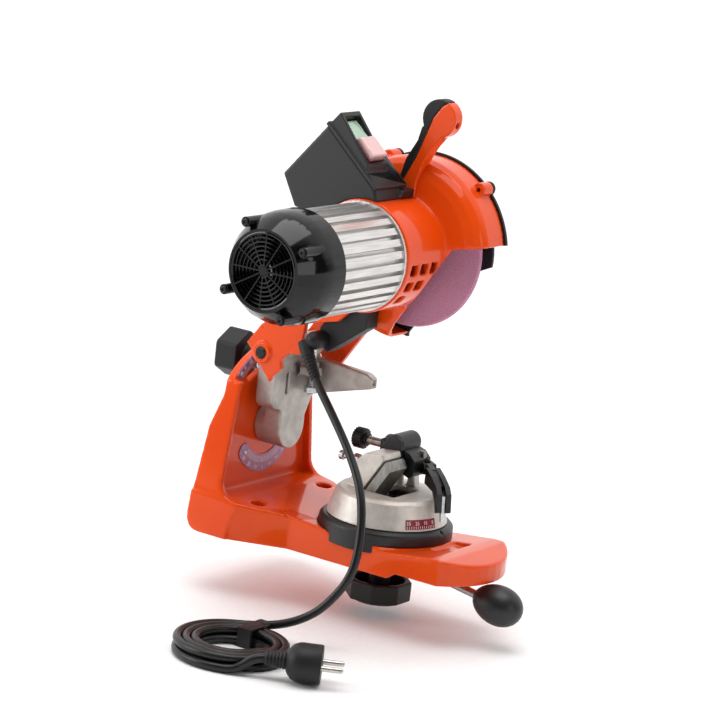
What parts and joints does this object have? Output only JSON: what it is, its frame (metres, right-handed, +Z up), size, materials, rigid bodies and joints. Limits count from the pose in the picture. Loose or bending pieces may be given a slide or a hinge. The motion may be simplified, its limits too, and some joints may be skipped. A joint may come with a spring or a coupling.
{
  "type": "chain saw sharpener",
  "caption": "Bench grinder for saw chains: cast base and tower, tilting and swinging motor head with guarded wheel, and a swivelling chain vise with lever clamp.",
  "frame": {"origin": "midpoint between the two bench bolt holes, on the underside of the base", "axes": "+X from the tower to the operator, +Y from the motor to the wheel, +Z up"},
  "size_m": [0.3536, 0.3528, 0.4894],
  "materials": {
    "orange_paint": "gloss enamel",
    "bare_casting": "as-cast satin",
    "fin_aluminium": "machined satin",
    "black_gloss": "gloss moulding",
    "black_matte": "matte moulding",
    "soft_grip": "soft satin",
    "zinc_steel": "zinc plated",
    "black_steel": "black oxide",
    "spring_steel": "bright wire",
    "wheel_grit": "bonded abrasive",
    "scale_print": "anodised print",
    "red_print": "printed label",
    "green_button": "translucent cover",
    "red_button": "translucent cover",
    "copper": "enamelled winding",
    "cord_pvc": "satin sheath"
  },
  "bodies": {
    "base": {"base_frame": "orange_paint", "tilt_scales": "scale_print", "scale_rivets": "black_steel", "tilt_pivot_bolt": "zinc_steel", "vise_saddle": "black_matte", "cord": "cord_pvc", "cord_coil": "cord_pvc", "cord_tie": "soft_grip", "plug": "cord_pvc"},
    "tilt_carrier": {"tilt_bracket": "bare_casting", "tilt_clamp_bolt": "zinc_steel", "tilt_clamp_washer": "zinc_steel", "hinge_pin": "black_steel", "hinge_pin_caps": "black_matte", "return_springs": "spring_steel", "depth_stop_screw": "zinc_steel", "depth_stop_spring": "spring_steel"},
    "tilt_knob": {"tilt_lock_knob": "black_matte"},
    "head": {"head_yoke": "orange_paint", "motor_shell": "fin_aluminium", "rear_shield": "bare_casting", "fan_cover": "black_gloss", "fan_cover_screws": "black_steel", "fan_grille": "black_gloss", "stator_core": "black_steel", "stator_windings": "copper", "motor_bearings": "zinc_steel", "wheel_guard": "orange_paint", "guard_cover": "black_matte", "cover_screws": "black_steel", "handle": "orange_paint", "handle_grip": "soft_grip", "switch_box": "black_matte", "switch_box_lid": "black_matte", "switch_module": "black_matte", "terminal_box": "black_matte", "cord_gland": "soft_grip"},
    "spindle": {"motor_shaft": "zinc_steel", "rotor_core": "black_steel", "cooling_fan": "black_gloss", "wheel_flanges": "zinc_steel", "wheel_nut": "zinc_steel", "grinding_wheel": "wheel_grit"},
    "start_key": {"start_button": "green_button"},
    "stop_key": {"stop_button": "red_button"},
    "vise": {"vise_base": "bare_casting", "jaw_pin": "zinc_steel", "jaw_adjust_screw": "zinc_steel", "swivel_scale": "red_print", "swivel_bolt": "zinc_steel", "chain_stop_body": "black_matte"},
    "jaw": {"moving_jaw": "bare_casting"},
    "swivel_knob": {"swivel_lock_knob": "black_matte"},
    "lever": {"clamp_lever": "zinc_steel", "lever_ball": "black_matte"},
    "stop_screw": {"chain_stop_spindle": "black_steel", "chain_stop_knob": "black_matte"},
    "stop_slide": {"chain_stop_carriage": "black_matte"},
    "stop_flap": {"chain_stop_arm": "black_matte", "chain_stop_pawl": "zinc_steel"}
  },
  "joints": [
    {"name": "head_tilt", "type": "hinge", "parent": "base", "child": "tilt_carrier", "pos_m": [-0.03, 0, 0.098], "axis": [1, 0, 0], "range_deg": [0, 30]},
    {"name": "tilt_knob_turn", "type": "hinge", "parent": "tilt_carrier", "child": "tilt_knob", "pos_m": [-0.07, 0, 0.156], "axis": [1, 0, 0], "continuous": true},
    {"name": "head_swing", "type": "hinge", "parent": "tilt_carrier", "child": "head", "pos_m": [-0.014, 0, 0.176], "axis": [0, 1, 0], "range_deg": [0, 46], "stiffness_Nm_per_rad": 4, "springref_deg": -160.43, "deforming": ["cord"]},
    {"name": "spindle_spin", "type": "hinge", "parent": "head", "child": "spindle", "pos_m": [0.104, 0, 0.293], "axis": [0, 1, 0], "continuous": true},
    {"name": "start_press", "type": "slide", "parent": "head", "child": "start_key", "axis": [-0.6498, 0, -0.7601], "range_m": [0, 0.002], "stiffness_N_per_m": 400, "springref_m": -0.002},
    {"name": "stop_press", "type": "slide", "parent": "head", "child": "stop_key", "axis": [-0.6498, 0, -0.7601], "range_m": [0, 0.003], "stiffness_N_per_m": 400, "springref_m": -0.002},
    {"name": "vise_swivel", "type": "hinge", "parent": "base", "child": "vise", "pos_m": [0.108, 0, 0.04], "axis": [0, 0, 1], "range_deg": [-35, 35]},
    {"name": "jaw_close", "type": "hinge", "parent": "vise", "child": "jaw", "pos_m": [0.09507, 0, 0.05523], "axis": [0, -1, 0], "range_deg": [0, 2]},
    {"name": "lever_turn", "type": "hinge", "parent": "base", "child": "lever", "pos_m": [0.108, 0, 0.007], "axis": [0, 0, 1], "range_deg": [0, 30]},
    {"name": "swivel_knob_turn", "type": "hinge", "parent": "vise", "child": "swivel_knob", "pos_m": [0.108, 0, -0.03], "axis": [0, 0, 1], "continuous": true},
    {"name": "stop_screw_turn", "type": "hinge", "parent": "vise", "child": "stop_screw", "pos_m": [0.07, 0.03, 0.0975], "axis": [1, 0, 0], "range_deg": [0, 720]},
    {"name": "stop_slide_travel", "type": "slide", "parent": "vise", "child": "stop_slide", "axis": [1, 0, 0], "range_m": [0, 0.0025]},
    {"name": "stop_flap_lift", "type": "hinge", "parent": "stop_slide", "child": "stop_flap", "pos_m": [0.13, 0.028, 0.086], "axis": [-0.6046, -0.7965, 0], "range_deg": [0, 25]}
  ],
  "couplings": [
    {"joint": "jaw_close", "follows": "lever_turn", "ratio": 0.066667},
    {"joint": "stop_screw_turn", "follows": "stop_slide_travel", "rad_per_m": 5026.5}
  ]
}
